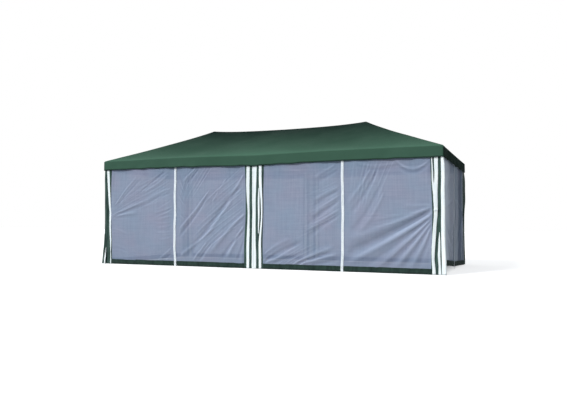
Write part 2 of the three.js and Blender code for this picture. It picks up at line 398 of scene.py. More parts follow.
def rounded_plan(x, y, half_x, half_y):
    """Moves a point of a rectangle's edge on to its rounded corner."""
    radius = np.minimum(CORNER_RADIUS, half_y * 0.5)
    dx, dy = np.abs(x) - (half_x - radius), np.abs(y) - (half_y - radius)
    inside = (dx > 0) & (dy > 0)
    reach = np.maximum(np.hypot(dx, dy), 1e-9)
    new_x = np.where(inside, (half_x - radius + radius * dx / reach) * np.sign(x), x)
    new_y = np.where(inside, (half_y - radius + radius * dy / reach) * np.sign(y), y)
    return new_x, new_y


def outline(columns_front, columns_end):
    """Unit positions round a rectangle, anticlockwise from the front left corner."""
    front = 2 * eased(columns_front, 0.55)[:-1] - 1
    end = 2 * eased(columns_end, 0.55)[:-1] - 1
    ones_front, ones_end = np.ones_like(front), np.ones_like(end)
    across = np.concatenate([front, ones_end, -front, -ones_end])
    along = np.concatenate([-ones_front, end, ones_front, -end])
    on_long_side = np.concatenate([ones_front, 0 * ones_end, ones_front, 0 * ones_end]) > 0.5
    return across, along, on_long_side


def build_canopy():
    across, along, on_long = outline(FRONT_COLUMNS, END_COLUMNS)
    run = math.hypot(HALF_WIDTH, RIDGE_HEIGHT - EAVE_HEIGHT)
    rows, flats, values = [], [], []

    def add_row(x, y, z, down, height, to_edge=1.0):
        rows.append(np.stack([x, y, z], axis=1))
        flats.append(np.stack([np.where(on_long, x, y), np.full_like(x, down)], axis=1))
        hip_seam = np.where(on_long, np.abs(np.abs(x) - half_x), np.abs(np.abs(y) - half_y)) / 1.414
        seam = np.minimum(hip_seam, abs(down - run))
        values.append([np.broadcast_to(height, x.shape), seam, np.full_like(x, to_edge)])

    for rise in eased(ROOF_ROWS, 0.8)[::-1]:
        half_x, half_y = HALF_LENGTH - HALF_WIDTH * rise, HALF_WIDTH * (1 - rise)
        x, y = rounded_plan(across * half_x, along * half_y, half_x, half_y)
        dip = eave_dip(x, y, on_long) * np.clip(1 - rise / 0.045, 0, 1)
        edge = np.clip(1 - rise * HALF_WIDTH / EAVE_BEND, 0, 1)
        z = roof_height(x, y, np.full_like(x, rise)) - dip - EAVE_DROP * edge**2
        add_row(x, y, z, run * (1 - rise), rise)

    half_x, half_y = HALF_LENGTH, HALF_WIDTH
    x, y = rounded_plan(across * half_x, along * half_y, half_x, half_y)
    around = np.where(on_long, x, y + 7.0)
    top = rows[-1][:, 2]
    from_corner = np.minimum(np.abs(np.abs(x) - half_x) + np.abs(np.abs(y) - half_y), 0.3) / 0.3
    out_x, out_y = np.where(on_long, 0, np.sign(x)), np.where(on_long, np.sign(y), 0)
    # Painted shade on the valances, carried in the height value: slight on the long sides, more at the left
    # end, most at the right end.
    shade = np.where(on_long, 0.19, np.where(x > 0, 0.82, 0.35))
    for step in range(1, VALANCE_ROWS + 1):
        drop = (VALANCE_DROP - EAVE_DROP) * (step / VALANCE_ROWS) ** 0.9
        free = (drop / VALANCE_DROP) ** 1.3
        sway = 0.011 * ripple(around, 0.4 * drop, 0.75, 11) + 0.007 * ripple(around, drop, 0.24, 12)
        sway = free * sway * from_corner + 0.004 * free
        edge_wave = 0.009 * free * ripple(around, 0 * around, 0.36, 13) + free * left_droop(x)
        left_over = VALANCE_DROP - EAVE_DROP - drop
        add_row(x + out_x * sway, y + out_y * sway, top - drop + edge_wave, run + drop, shade, left_over)

    faces = grid_faces(len(rows), len(across), closed=True)
    height, seam, edge = np.concatenate(values, axis=1)
    piece = new_piece(
        "canopy_cover", np.concatenate(rows), faces, ["canopy"], np.concatenate(flats), 0.0015,
        height=height, seam=seam, edge=edge,
    )
    weld = bmesh.new()
    weld.from_mesh(piece.data)
    bmesh.ops.remove_doubles(weld, verts=weld.verts, dist=1e-5)
    bmesh.ops.dissolve_degenerate(weld, edges=weld.edges, dist=1e-6)
    bmesh.ops.recalc_face_normals(weld, faces=weld.faces)
    weld.to_mesh(piece.data)
    weld.free()
    piece.data.shade_smooth()
    attach(piece, "canopy")


# ---- walls

SIDES = {-1: "left", 1: "right"}


class Wall:
    """A wall plane: u runs to the right as seen from outside, and w outwards."""

    def __init__(self, name, centre, right, half):
        self.name = name
        self.centre = np.array(centre)
        self.right = np.array(right)
        self.outward = np.array((right[1], -right[0]))
        self.half = half

    def at(self, u, w, z):
        plan = self.centre + np.multiply.outer(u, self.right) + np.multiply.outer(w, self.outward)
        return np.concatenate([plan, np.asarray(z)[..., None]], axis=-1)


BAY_CENTRE = WALL_X / 2
WALLS = {
    "front_wall_left": Wall("front_left", (-BAY_CENTRE, -WALL_Y), (1, 0), BAY_CENTRE),
    "front_wall_right": Wall("front_right", (BAY_CENTRE, -WALL_Y), (1, 0), BAY_CENTRE),
    "end_wall_left": Wall("left_end", (-WALL_X, 0), (0, -1), WALL_Y),
    "end_wall_right": Wall("right_end", (WALL_X, 0), (0, 1), WALL_Y),
    "back_wall_left": Wall("back_left", (-BAY_CENTRE, WALL_Y), (-1, 0), BAY_CENTRE),
    "back_wall_right": Wall("back_right", (BAY_CENTRE, WALL_Y), (-1, 0), BAY_CENTRE),
}


# ---- folds of the nets


def along_line(p, z, a, b):
    """How far along the line from a to b each point lies, as a share, and how far to its left."""
    length = np.hypot(*(b - a))
    dx, dz = p - a[0], z - a[1]
    along = (dx * (b - a)[0] + dz * (b - a)[1]) / length**2
    return along, (dz * (b - a)[0] - dx * (b - a)[1]) / length


AT_ZIP = -0.001


class Folds:
    """The folds of one net, over p, the distance from its striped band, and z, the height.

    drift is the depth, pitch and seed of the whole net's gentle waves. A crease is one broad fold: p and z
    where it starts, p and z where it ends, its depth (below 0 for a valley), its width and its bow. A
    bundle's folds start anywhere on one line and end at about the same share of another: p and z of each
    line's two ends, how many folds, their depth, width and bow, and a seed. A swag hangs between two points
    of the top edge: p, z, span, droop and depth. A p below 0 counts back from the zip.
    """

    def __init__(self, drift, creases, bundles, swags=()):
        self.drift, self.creases, self.bundles, self.swags = drift, creases, bundles, swags

    def at(self, p, z, width):
        depth, pitch, seed = self.drift
        total = depth / 1000 * ripple(p, z, pitch / 1000, seed)
        for index, crease in enumerate(self.creases):
            total = total + self.crease(p, z, width, index, *crease)
        for bundle in self.bundles:
            total = total + self.bundle(p, z, width, *bundle)
        for swag in self.swags:
            total = total + self.swag(p, z, *(np.array(swag) / 1000))
        return total

    @staticmethod
    def spot(p, z, width):
        return np.array(((width if p < 0 else 0) + p / 1000, z / 1000))

    def crease(self, p, z, width, index, start_p, start_z, end_p, end_z, depth, broad, bow):
        """It widens as it leaves its start and dies away at its end."""
        line = self.spot(start_p, start_z, width), self.spot(end_p, end_z, width)
        along, across = along_line(p, z, *line)
        across = across - bow / 1000 * 4 * along * (1 - along)
        across = across - 0.006 * ripple(along, 0 * along, 0.6, 200 + index)
        w = broad / 1000 * (0.45 + 0.75 * np.clip(along, 0, 1))
        window = smooth(along, -0.03, 0.12) * (1 - smooth(along, 0.78, 1.06))
        return depth / 1000 * window * bump(across, 0, w)

    def bundle(self, p, z, width, *row):
        """Each fold has a valley on one side, and dies away at both of its ends."""
        ends = [self.spot(row[i], row[i + 1], width) for i in (0, 2, 4, 6)]
        count, (depth, broad, bow), seed = row[8], np.array(row[9:12]) / 1000, row[12]
        random = np.random.default_rng(seed)
        total = np.zeros_like(p)
        for index in range(count):
            share = (index + 0.5 + random.uniform(-0.35, 0.35)) / count
            far_share = np.clip(share + random.uniform(-0.08, 0.08), 0, 1)
            a = ends[0] * (1 - share) + ends[1] * share
            b = ends[2] * (1 - far_share) + ends[3] * far_share
            along, across = along_line(p, z, a, b)
            across = across - bow * random.uniform(0.3, 1.4) * 4 * along * (1 - along)
            w = broad * random.uniform(0.65, 1.4) * (0.6 + 0.7 * np.clip(along, 0, 1))
            stop = random.uniform(0.75, 1.05)
            window = smooth(along, -0.04, 0.10) * (1 - smooth(along, stop - 0.30, stop + 0.05))
            side = random.choice((-1.0, 1.0))
            shape = bump(across, 0, w) - 0.6 * bump(across, side * 1.7 * w, 1.3 * w)
            total = total + depth * random.uniform(0.5, 1.3) * window * shape
        return total

    @staticmethod
    def swag(p, z, at_p, at_z, span, droop, depth):
        curve = at_z + droop * ((p - at_p) / span) ** 2
        window = np.exp(-(((p - at_p) / span) ** 4))
        return depth * window * (bump(z, curve, 0.020) - 0.7 * bump(z, curve - 0.050, 0.026))


END_FOLDS = Folds((11, 700, 25), [
    (0, 930, 1200, 300, -15, 55, -30), (0, 900, 1100, 120, 14, 50, -30), (0, 860, 800, 80, -11, 40, -20),
    (0, 830, 580, 80, 10.5, 36, -20), (0, 790, 380, 80, -9, 32, -10), (0, 980, 700, 1660, 8, 34, 20),
    (20, 990, 950, 1500, -8, 34, 20), (20, 960, 1150, 1160, 7, 34, 10),
], [
    (AT_ZIP, 1200, AT_ZIP, 400, 800, 900, 850, 250, 5, 3.6, 20, 20, 20),
])
BACK_FOLDS = Folds((11, 800, 26), [
    (0, 940, 1700, 300, -17, 60, -40), (0, 910, 1600, 140, 15, 55, -40), (0, 870, 1100, 80, -12, 44, -30),
    (0, 840, 800, 80, 11.5, 40, -20), (0, 800, 520, 80, -10, 34, -10), (0, 760, 300, 80, 9, 30, 0),
    (0, 980, 750, 1680, 8.5, 36, 30), (20, 990, 1200, 1560, -8, 36, 30), (20, 970, 1700, 1220, 7.5, 36, 20),
], [
    (350, 1760, 1300, 1760, 450, 1100, 1500, 950, 6, 3.4, 26, 30, 23),
])
FOLDS = {
    ("front_wall_left", -1): Folds((9, 800, 21), [
        (0, 880, 820, 1170, 7.5, 36, 10), (20, 870, 760, 1060, -6, 34, 10), (20, 870, 560, 940, 6, 24, 0),
        (40, 850, 620, 860, -3.5, 28, 0), (70, 1040, 560, 1600, 4.5, 20, 20),
        (140, 1060, 660, 1560, -4, 20, 20), (620, 1320, 1160, 1700, -7.5, 24, -20),
        (700, 1300, 1200, 1600, 5.5, 24, -20), (1280, 1360, 720, 1140, 5.5, 24, -20),
        (1280, 1280, 780, 1100, -5, 22, -20), (-20, 340, 1000, 100, 5, 26, 0),
        (-20, 250, 1080, 90, -4.5, 22, 0),
    ], [
        (-20, 500, -20, 1200, 920, 480, 880, 1020, 8, 3, 15, 20, 3),
        (20, 750, 20, 200, 450, 650, 350, 120, 4, 2, 22, 20, 5),
        (20, 1000, 20, 800, 1000, 1600, 1050, 1100, 9, 2.2, 12, 20, 61),
        (1200, 1740, 1240, 1300, 500, 1450, 600, 950, 8, 2, 12, 20, 62),
    ]),
    ("front_wall_left", 1): Folds((10, 800, 22), [
        (30, 1560, 360, 1020, 9, 34, 10), (100, 1360, 1080, 140, -17, 52, 30),
        (0, 920, 660, 220, 15, 42, 20), (20, 720, 320, 160, 12, 36, 10), (40, 620, 460, 120, -11, 36, 10),
        (0, 500, 140, 100, -8, 30, 0), (660, 1300, -10, 580, 8.5, 26, -20),
        (720, 1160, -10, 460, -7.5, 26, -20), (560, 680, -10, 140, 10.5, 34, -20),
        (700, 420, 980, 100, 8, 22, 0), (620, 400, 880, 100, -9, 24, 0), (860, 1680, 1100, 1420, -6.5, 24, 0),
        (920, 1700, 1180, 1460, 6, 22, 0), (340, 1500, 620, 1080, 5, 22, 10),
        (400, 1420, 660, 1040, -4.5, 20, 10), (240, 1120, 720, 500, 7, 32, 20),
    ], [
        (-10, 1700, -10, 900, 1120, 1340, 1100, 700, 5, 2.6, 14, 20, 8),
        (40, 1740, 40, 750, 1100, 900, 800, 120, 12, 2.6, 13, 20, 63),
        (500, 1740, 1150, 1740, 1000, 1100, 1300, 1100, 7, 2, 12, 20, 64),
    ]),
    ("front_wall_right", -1): Folds((11, 900, 23), [
        (-20, 1270, 840, 1020, -9, 36, -10), (-20, 1340, 860, 1120, 6.5, 36, -10),
        (-20, 1120, 780, 760, -10, 38, -10), (-20, 1190, 820, 880, 6.5, 34, -10),
        (-20, 980, 720, 620, 7.5, 40, -10), (-20, 900, 760, 540, -7.5, 36, -10),
        (500, 90, 1200, 400, 12.5, 34, 10), (620, 90, -20, 280, 11, 30, 10),
        (560, 90, 1160, 300, -10, 24, 10), (800, 90, -20, 180, -9.5, 24, 0),
        (20, 130, 680, 460, -13.5, 42, 20), (40, 110, 500, 280, 8, 28, 0), (160, 100, 600, 250, -8, 26, 0),
        (20, 240, 500, 520, 6, 36, 20), (1200, 1660, 860, 1460, 4.5, 30, 0),
        (-20, 1600, 920, 1400, -4.5, 30, 0),
    ], [
        (50, 1600, 300, 1660, 800, 1450, 1200, 1580, 2, 2, 26, 20, 13),
        (1300, 1450, 1300, 800, 700, 1200, 550, 450, 9, 2.2, 12, 20, 65),
        (20, 100, 700, 90, 700, 500, 1250, 340, 9, 2.8, 13, 20, 66),
    ]),
    ("front_wall_right", 1): Folds((9, 800, 24), [
        (0, 950, -10, 270, -36, 70, -30), (20, 990, -10, 480, 12, 55, -20), (0, 900, -10, 120, 20, 60, -30),
        (0, 860, 1040, 60, -10.5, 40, -20), (0, 840, 840, 60, 10.5, 42, -20), (0, 820, 690, 60, -9, 38, -20),
        (0, 800, 560, 60, 9.5, 40, -20), (0, 770, 430, 60, -8, 36, -10), (0, 740, 310, 60, 8, 36, -10),
        (0, 700, 190, 60, -6, 30, 0), (800, 1560, 1260, 880, -9, 40, -40),
        (760, 1340, 1200, 620, -8, 42, -40), (900, 1580, -10, 1020, 7, 36, -30),
        (700, 1220, 1120, 580, 6.5, 42, -40), (0, 1020, 420, 1020, 4, 28, 0),
    ], [
        (500, 1720, 1200, 1720, 900, 800, 1300, 750, 9, 2.4, 14, 20, 67),
        (0, 1000, 0, 800, 1280, 950, 600, 80, 10, 2.2, 14, -20, 68),
    ], [(260, 1560, 210, 90, 8), (780, 1620, 300, 50, 4)]),
}

# ---- striped bands


class Band:
    """How one half of a striped band hangs beside its leg.

    stripes lists each stripe's far edge from the wall's edge, and its colour. pinch draws the band in at
    its tie, lean moves the free edge at the ground, kink bows the free edge and flare blows it outwards.
    shown gives, height by height, where the stripes' far edges hang when some of the cloth is folded away.
    """

    def __init__(self, stripes, pinch=0.10, lean=0.0, kink=0.0, flare=0.0, seed=1, shown=None):
        self.stripes = stripes
        self.shown = shown
        self.pinch, self.lean, self.kink = pinch, lean, kink
        self.flare, self.seed = flare, seed
        self.width = stripes[-1][0]

    def place(self, s, z):
        """Where cloth s from the wall's edge hangs at height z: its distance from the edge, and outwards."""
        share = s / self.width
        below = 1 - smooth(z, 0.0, TIE_HEIGHT)
        tie = bump(z, TIE_HEIGHT, 0.11)
        moved = s * (1 - self.pinch * tie) + self.lean * below * share**1.2
        moved = moved + self.kink * share**2 * bump(z, TIE_HEIGHT + 0.05, 0.26)
        loose = (0.35 + 0.65 * below) * (1 - 0.8 * tie) * (1 - smooth(z, 1.55, 1.72))
        if self.shown:
            moved = self.folded_away(s, z)
        moved = moved + 0.006 * share * loose * ripple(z, 0 * z, 0.45, self.seed)
        out = 0.0075 * share * loose * np.sin(2 * math.pi * (s / 0.085 + 0.35 * z) + self.seed)
        out = out - 0.010 * tie * share * (1 - share) * 4
        out = out + self.flare * below**1.5 * (0.3 + 0.7 * share)
        return moved, out + 0.002

    def folded_away(self, s, z):
        levels = np.linspace(0, WALL_TOP, 93)
        starts, was, moved = 0.0 * z, 0.0, s + 0.0 * z
        for (edge, _), column in zip(self.stripes, follow(self.shown, levels)):
            ends = np.interp(z, levels, column)
            inside = s >= was
            moved = np.where(inside, starts + (s - was) / (edge - was) * (ends - starts), moved)
            starts, was = ends, edge
        return moved


MIDDLE_STRIPES = ((0.039, "white"), (0.092, "green"), (0.145, "white"), (0.168, "green"))
LEFT_STRIPES = ((0.042, "green"), (0.096, "white"), (0.144, "green"))
RIGHT_STRIPES = ((0.155, "green"),)
LOOSE_MIDDLE_STRIPES = ((0.039, "white"), (0.166, "green"))
DARK_END_STRIPES = ((0.055, "green"), (0.110, "white"), (0.150, "green"))
# Heights, then how far from the wall's edge each of the stripes ends there.
LEFT_SHOWN = [
    (1750, 28, 80, 140), (1340, 55, 100, 128), (1150, 70, 112, 126), (970, 84, 120, 130), (600, 93, 127, 136),
    (420, 105, 138, 146), (240, 117, 127, 142), (0, 112, 134, 148),
]
MIDDLE_LEFT_SHOWN = [
    (1700, 30, 78, 131, 165), (1340, 30, 81, 137, 148), (1150, 30, 81, 127, 147), (970, 28, 80, 113, 146),
    (800, 28, 79, 112, 149), (600, 30, 74, 124, 161), (420, 32, 78, 129, 166), (0, 34, 80, 131, 172),
]
MIDDLE_RIGHT_SHOWN = [
    (1700, 50, 178), (1340, 40, 168), (1150, 33, 166), (600, 31, 160), (420, 34, 162), (240, 45, 168),
    (0, 42, 170),
]
RIGHT_SHOWN = [(1750, 169), (1400, 160), (1100, 148), (900, 138), (600, 142), (300, 150), (0, 154)]
BANDS = {
    ("front_wall_left", -1): Band(LEFT_STRIPES, seed=31, shown=LEFT_SHOWN),
    ("front_wall_left", 1): Band(MIDDLE_STRIPES, seed=32, shown=MIDDLE_LEFT_SHOWN),
    ("front_wall_right", -1): Band(LOOSE_MIDDLE_STRIPES, seed=33, shown=MIDDLE_RIGHT_SHOWN),
    ("front_wall_right", 1): Band(RIGHT_STRIPES, seed=34, shown=RIGHT_SHOWN),
    ("end_wall_left", -1): Band(MIDDLE_STRIPES, pinch=0.10, lean=0.02, seed=35),
    ("end_wall_left", 1): Band(DARK_END_STRIPES, pinch=0.14, lean=0.03, flare=0.02, seed=36),
    ("end_wall_right", -1): Band(MIDDLE_STRIPES, pinch=0.10, lean=0.01, seed=37),
    ("end_wall_right", 1): Band(MIDDLE_STRIPES, pinch=0.12, lean=0.03, flare=0.02, seed=38),
    ("back_wall_left", -1): Band(MIDDLE_STRIPES, pinch=0.04, lean=0.01, kink=0.01, seed=39),
    ("back_wall_left", 1): Band(MIDDLE_STRIPES, pinch=0.10, lean=0.02, seed=40),
    ("back_wall_right", -1): Band(MIDDLE_STRIPES, pinch=0.10, lean=0.02, seed=41),
    ("back_wall_right", 1): Band(MIDDLE_STRIPES, pinch=0.04, lean=0.01, kink=0.01, seed=42),
}


# ---- shape of the walls


def painted_light_and_gathering(wall_node, side, p, width):
    """How much paler and denser the net is: painted light towards the front corner of the right end and, more
    faintly, near the middle of its back half; and real doubling where its two edges are turned under beside
    an end zip."""
    if not wall_node.startswith("end"):
        return 0 * p
    beside_zip = 0.55 * bump(width - p, 0.055, 0.018)
    if (wall_node, side) == ("end_wall_right", -1):
        # Painted light, strongest at the front corner of the right end.
        return np.maximum(1 - 0.70 * smooth(p, 0.30, 0.85), beside_zip)
    # Fainter painted light over the right end's back half, near its middle.
    base = 0.22 if wall_node == "end_wall_right" else 0.0
    return np.maximum(base * (1 - smooth(width - p, 0.2, 0.9)), beside_zip)


# How far each closed zip wanders, how far it leans, and the seed of its wander.
ZIPS = {
    "front_wall_left": (0.008, -0.011, 51),
    "front_wall_right": (0.004, 0.010, 52),
    "end_wall_left": (0.006, 0.0, 53),
    "end_wall_right": (0.006, 0.0, 54),
}


def zip_wave(wall_node, z):
    """How far the closed zip wanders sideways at a height."""
    wave, lean, seed = ZIPS[wall_node]
    hold = smooth(z, 0.05, 0.35) * (1 - smooth(z, 1.60, 1.75))
    return hold * (lean * (1 - 0.6 * smooth(z, 1.05, 1.5)) + wave * ripple(z, 0 * z, 0.55, seed) * 1.6)


def foot_lift(wall_node, side, s, z, half):
    """The right end wall's foot is drawn up towards the front corner."""
    if wall_node != "end_wall_right":
        return 0 * s
    from_front = s if side < 0 else 2 * half - s
    lift = np.interp(from_front, [0.1, 0.5, 1.1, 1.476, 2.2, 2.9], [0.112, 0.105, 0.070, 0.040, 0.020, 0.0])
    return lift * (1 - smooth(z, 0.05, 0.95))


def crease_of(offset, row_step, column_step):
    """From -1 in a valley to 1 on a ridge, from how the cloth curves."""
    curve = -(
        np.gradient(np.gradient(offset, axis=0), axis=0) / row_step**2
        + np.gradient(np.gradient(offset, axis=1), axis=1) / column_step**2
    )
    return np.clip(curve / 26.0, -1, 1)


def place_half(wall, side, s, out, z):
    return wall.at(side * (wall.half - s), out, z)


def facing(faces, side):
    return [tuple(reversed(f)) for f in faces] if side > 0 else faces


def build_band(wall_node, side):
    wall, band = WALLS[wall_node], BANDS[wall_node, side]
    columns, colours = [0.0], []
    for end, colour in band.stripes:
        start = columns[-1]
        steps = max(1, round((end - start) / 0.012))
        columns += [start + (end - start) * (i + 1) / steps for i in range(steps)]
        colours += [colour] * steps
    s, z = np.meshgrid(columns, np.linspace(GROUND_GAP, WALL_TOP, 92))
    points = place_half(wall, side, *band.place(s, z), z)
    faces = facing(grid_faces(*s.shape), side)
    name = f"band_{wall.name}_{SIDES[side]}"
    piece = new_piece(name, points, faces, ["white", "green"], np.dstack([s, z]), CLOTH_THICKNESS)
    for index, polygon in enumerate(piece.data.polygons):
        polygon.material_index = 0 if colours[index % len(colours)] == "white" else 1
    attach(piece)


def net_grid(wall_node, side, heights, inner_edge):
    """A half net's cloth distance and height, place along the wall, and how far its band pushes it out."""
    band = BANDS[wall_node, side]
    start = band.width - 0.003
    s, z = np.meshgrid(np.linspace(start, inner_edge, 96), heights)
    edge_s, edge_out = band.place(np.full_like(z, band.width), z)
    fade = 1 - smooth(s, start, start + 0.55)
    moved = s + (edge_s - band.width) * fade - side * zip_wave(wall_node, z) * smooth(s, start, inner_edge)
    return s, z, moved, edge_out * fade


def build_net_half(wall_node, side):
    """A half curtain's net, which passes behind its zip tape and follows its band at the edge."""
    wall, band = WALLS[wall_node], BANDS[wall_node, side]
    inner_edge = wall.half - TAPE_HALF + 0.008
    heights = np.linspace(HEM_HEIGHT - 0.006, WALL_TOP, 104)
    s, z, moved, edge_out = net_grid(wall_node, side, heights, inner_edge)
    p = s - s[0, 0]
    width = p[0, -1]
    folds = FOLDS.get((wall_node, side), END_FOLDS).at(p, z, width)
    calm = smooth(z, WALL_TOP, 1.62) * smooth(p, -0.002, 0.06)
    offset = folds * calm * (1 - 0.85 * smooth(p, width - 0.14, width - 0.02))
    offset = offset - 0.0050 * smooth(p, width - 0.20, width - 0.04)
    crease = crease_of(offset, z[1, 0] - z[0, 0], s[0, 1] - s[0, 0])
    # Painted shade: the right end's net darkens in streaks towards its back corner.
    if (wall_node, side) == ("end_wall_right", 1):
        crease = crease - 0.7 * (1 - smooth(p, 0.2, 1.1)) * (0.7 + 0.3 * ripple(p, 0.1 * z, 0.16, 27))
    raised = z + foot_lift(wall_node, side, s, z, wall.half)
    label = f"{wall.name}_{SIDES[side]}"
    net = new_piece(
        f"net_{label}", place_half(wall, side, moved, offset + edge_out, raised),
        facing(grid_faces(*s.shape), side), ["net"], np.dstack([s, z]),
        crease=np.clip(crease, -1, 1), gathered=painted_light_and_gathering(wall_node, side, p, width),
    )
    hem = build_hem(f"hem_{label}", wall_node, side, inner_edge)
    loops = build_loops(f"loops_{label}", wall, side, band.width, inner_edge)
    attach(net, f"{wall_node}_net_{SIDES[side]}")
    anchor = tuple(wall.at(np.array(side * (wall.half - band.width)), np.array(0.0), np.array(0.0)))
    for piece in (net, hem, loops):
        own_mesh(piece)


def build_hem(name, wall_node, side, inner_edge):
    """The green ground hem, sewn over the foot of the net and folded at its top edge."""
    wall = WALLS[wall_node]
    shares = np.array((0.0, 0.25, 0.5, 0.8, 0.92, 1.0))
    lift = np.array((0.002, 0.0045, 0.005, 0.004, 0.0045, 0.003))[:, None]
    heights = GROUND_GAP + (HEM_HEIGHT - GROUND_GAP) * shares
    s, z, moved, edge_out = net_grid(wall_node, side, heights, inner_edge)
    near_zip = smooth(s, inner_edge - 0.14, inner_edge - 0.02)
    loose = smooth(s, s[0, 0], s[0, 0] + 0.1) * (1 - 0.8 * near_zip)
    sway = 0.005 * ripple(s, 0.6 * z, 0.5, 60 + side) * loose
    z = z + 0.002 * ripple(s, 0 * s, 0.35, 63 + side) * (z < GROUND_GAP + 0.001)
    z = z + 0.003 * ripple(s, 0 * s, 0.6, 66 + side) * smooth(z, 0.06, HEM_HEIGHT)
    z = np.maximum(z, 0.001)
    out = lift + sway * (1 - smooth(z, 0.05, HEM_HEIGHT) * 0.6) + edge_out - 0.0065 * near_zip
    raised = z + foot_lift(wall_node, side, s, 0 * z, wall.half)
    points, faces = place_half(wall, side, moved, out, raised), facing(grid_faces(*s.shape), side)
    hem = new_piece(name, points, faces, ["hem"], np.dstack([s, z]), CLOTH_THICKNESS)
    attach(hem)
    return hem


def build_back_wall(wall_node):
    wall, left, right = WALLS[wall_node], BANDS[wall_node, -1], BANDS[wall_node, 1]
    u = np.linspace(left.width - wall.half - 0.003, wall.half - right.width + 0.003, 190)

    def grid(levels):
        uu, zz = np.meshgrid(u, levels)
        moved, out = uu, 0 * uu
        for side, band in ((-1, left), (1, right)):
            edge_s, edge_out = band.place(np.full_like(zz, band.width), zz)
            fade = 1 - smooth(wall.half - side * uu, band.width - 0.003, band.width + 0.55)
            moved = moved - side * (edge_s - band.width) * fade
            out = out + edge_out * fade
        return uu, zz, moved, out

    uu, zz, moved, edge_out = grid(np.linspace(HEM_HEIGHT - 0.006, WALL_TOP, 96))
    width = u[-1] - u[0]
    from_left, from_right = uu - u[0], u[-1] - uu
    blend = smooth(uu, -0.35, 0.35)
    offset = BACK_FOLDS.at(from_left, zz, width) * (1 - blend) + BACK_FOLDS.at(from_right, zz, width) * blend
    offset = offset * smooth(zz, WALL_TOP, 1.62) * smooth(from_left, 0, 0.06) * smooth(from_right, 0, 0.06)
    net = new_piece(
        f"net_{wall.name}", wall.at(moved, offset + edge_out, zz), grid_faces(*uu.shape), ["net"],
        np.dstack([uu, zz]), crease=crease_of(offset, zz[1, 0] - zz[0, 0], u[1] - u[0]), gathered=0 * zz,
    )
    attach(net, wall_node)
    uu, zz, moved, edge_out = grid(np.linspace(GROUND_GAP, HEM_HEIGHT, 6))
    points = wall.at(moved, 0.0035 + 0.005 * ripple(uu, 0.6 * zz, 0.5, 70) + edge_out, zz)
    faces, flat = grid_faces(*uu.shape), np.dstack([uu, zz])
    hem = new_piece(f"hem_{wall.name}", points, faces, ["hem"], flat, CLOTH_THICKNESS)
    attach(hem)
    loops = build_loops(f"loops_{wall.name}", wall, 1, right.width, 2 * wall.half - left.width)


# ---- loose strips, ties and hanging loops


def build_strip(name, points, flat, colour):
    rows, columns = flat.shape[:2]
    piece = new_piece(name, points, grid_faces(rows, columns), [colour], flat, CLOTH_THICKNESS)
    attach(piece)


def build_corner_strip(name, corner, colour, seed, knots):
    """A strip wrapped loosely round a corner. knots: height, how far it reaches along the long wall and
    along the end wall, and how far it stands off the corner."""
    z = np.linspace(GROUND_GAP, WALL_TOP, 90)
    front, end, off = (column[:, None] for column in follow(knots, z))
    q = np.linspace(-1, 1, 15)[None, :]
    toward_front = np.logaddexp(0, -9 * q) / 9
    toward_end = np.logaddexp(0, 9 * q) / 9
    wave = 0.004 * (1 - smooth(z, 0.0, 1.5))[:, None] * np.sin(6 * q + 3 * z[:, None] + seed)
    wander = 0.004 * ripple(z, 0 * z, 0.5, seed)[:, None]
    x = WALL_X + off * (1 - smooth(q, 0.1, 1.0)) - front * toward_front + wave + wander
    y = WALL_Y + 0.006 + 0.35 * off * (1 - smooth(-q, 0.3, 1.2)) - end * toward_end + wave
    zz = np.broadcast_to(z[:, None], x.shape)
    flat = np.dstack([end * toward_end - front * toward_front, zz])
    points = np.dstack([corner[0] * x, corner[1] * y, zz])
    build_strip(name, points, flat, colour)


def build_flat_strip(name, wall_node, side, colour, seed, knots):
    """A strip that hangs in front of a wall. knots: height, distance from the wall's edge, width, how far
    in front of the wall, and how far it is twisted."""
    heights = [knot[0] / 1000 for knot in knots]
    top, foot = max(heights), max(min(heights), GROUND_GAP)
    z = np.linspace(foot, top, 90)
    s_mid, width, out, twist = follow(knots, z)
    q = np.linspace(-0.5, 0.5, 6)
    curl = 0.16 * np.outer(width, q**2 - 0.25) * np.cos(6 * z + seed)[:, None]
    s = s_mid[:, None] + np.outer(width * np.cos(twist), q) + 0.003 * ripple(z, 0 * z, 0.4, seed)[:, None]
    w = out[:, None] + np.outer(width * np.sin(twist), q) + curl
    zz = np.broadcast_to(z[:, None], s.shape)
    points, flat = place_half(WALLS[wall_node], side, s, w, zz), np.dstack([np.outer(width, q), zz])
    build_strip(name, points, flat, colour)


CORNER_STRIPS = [
    ("corner_strip_right", (1, -1), "white", 3, [
        (1835, 30, 90, 8), (1740, 32, 90, 10), (1640, 56, 90, 38), (1300, 58, 90, 40), (920, 60, 90, 46),
        (500, 66, 100, 56), (200, 70, 100, 68), (0, 74, 100, 74),
    ]),
    ("corner_strip_left", (-1, -1), "green", 5, [
        (1835, 36, 60, 8), (1720, 36, 60, 10), (1600, 50, 60, 18), (1400, 50, 60, 14), (920, 50, 50, 8),
        (500, 56, 40, 10), (0, 50, 40, 16),
    ]),
    ("corner_strip_back_right", (1, 1), "green", 6, [
        (1835, 30, 50, 8), (1740, 30, 50, 10), (1600, 50, 50, 30), (1200, 50, 60, 34), (920, 50, 60, 18),
        (400, 60, 70, 20), (0, 70, 80, 34),
    ]),
    ("corner_strip_back_left", (-1, 1), "green", 7, [
        (1835, 30, 50, 8), (1740, 30, 50, 10), (1600, 50, 50, 26), (1200, 50, 60, 24), (920, 50, 50, 12),
        (400, 60, 60, 20), (0, 70, 70, 30),
    ]),
]
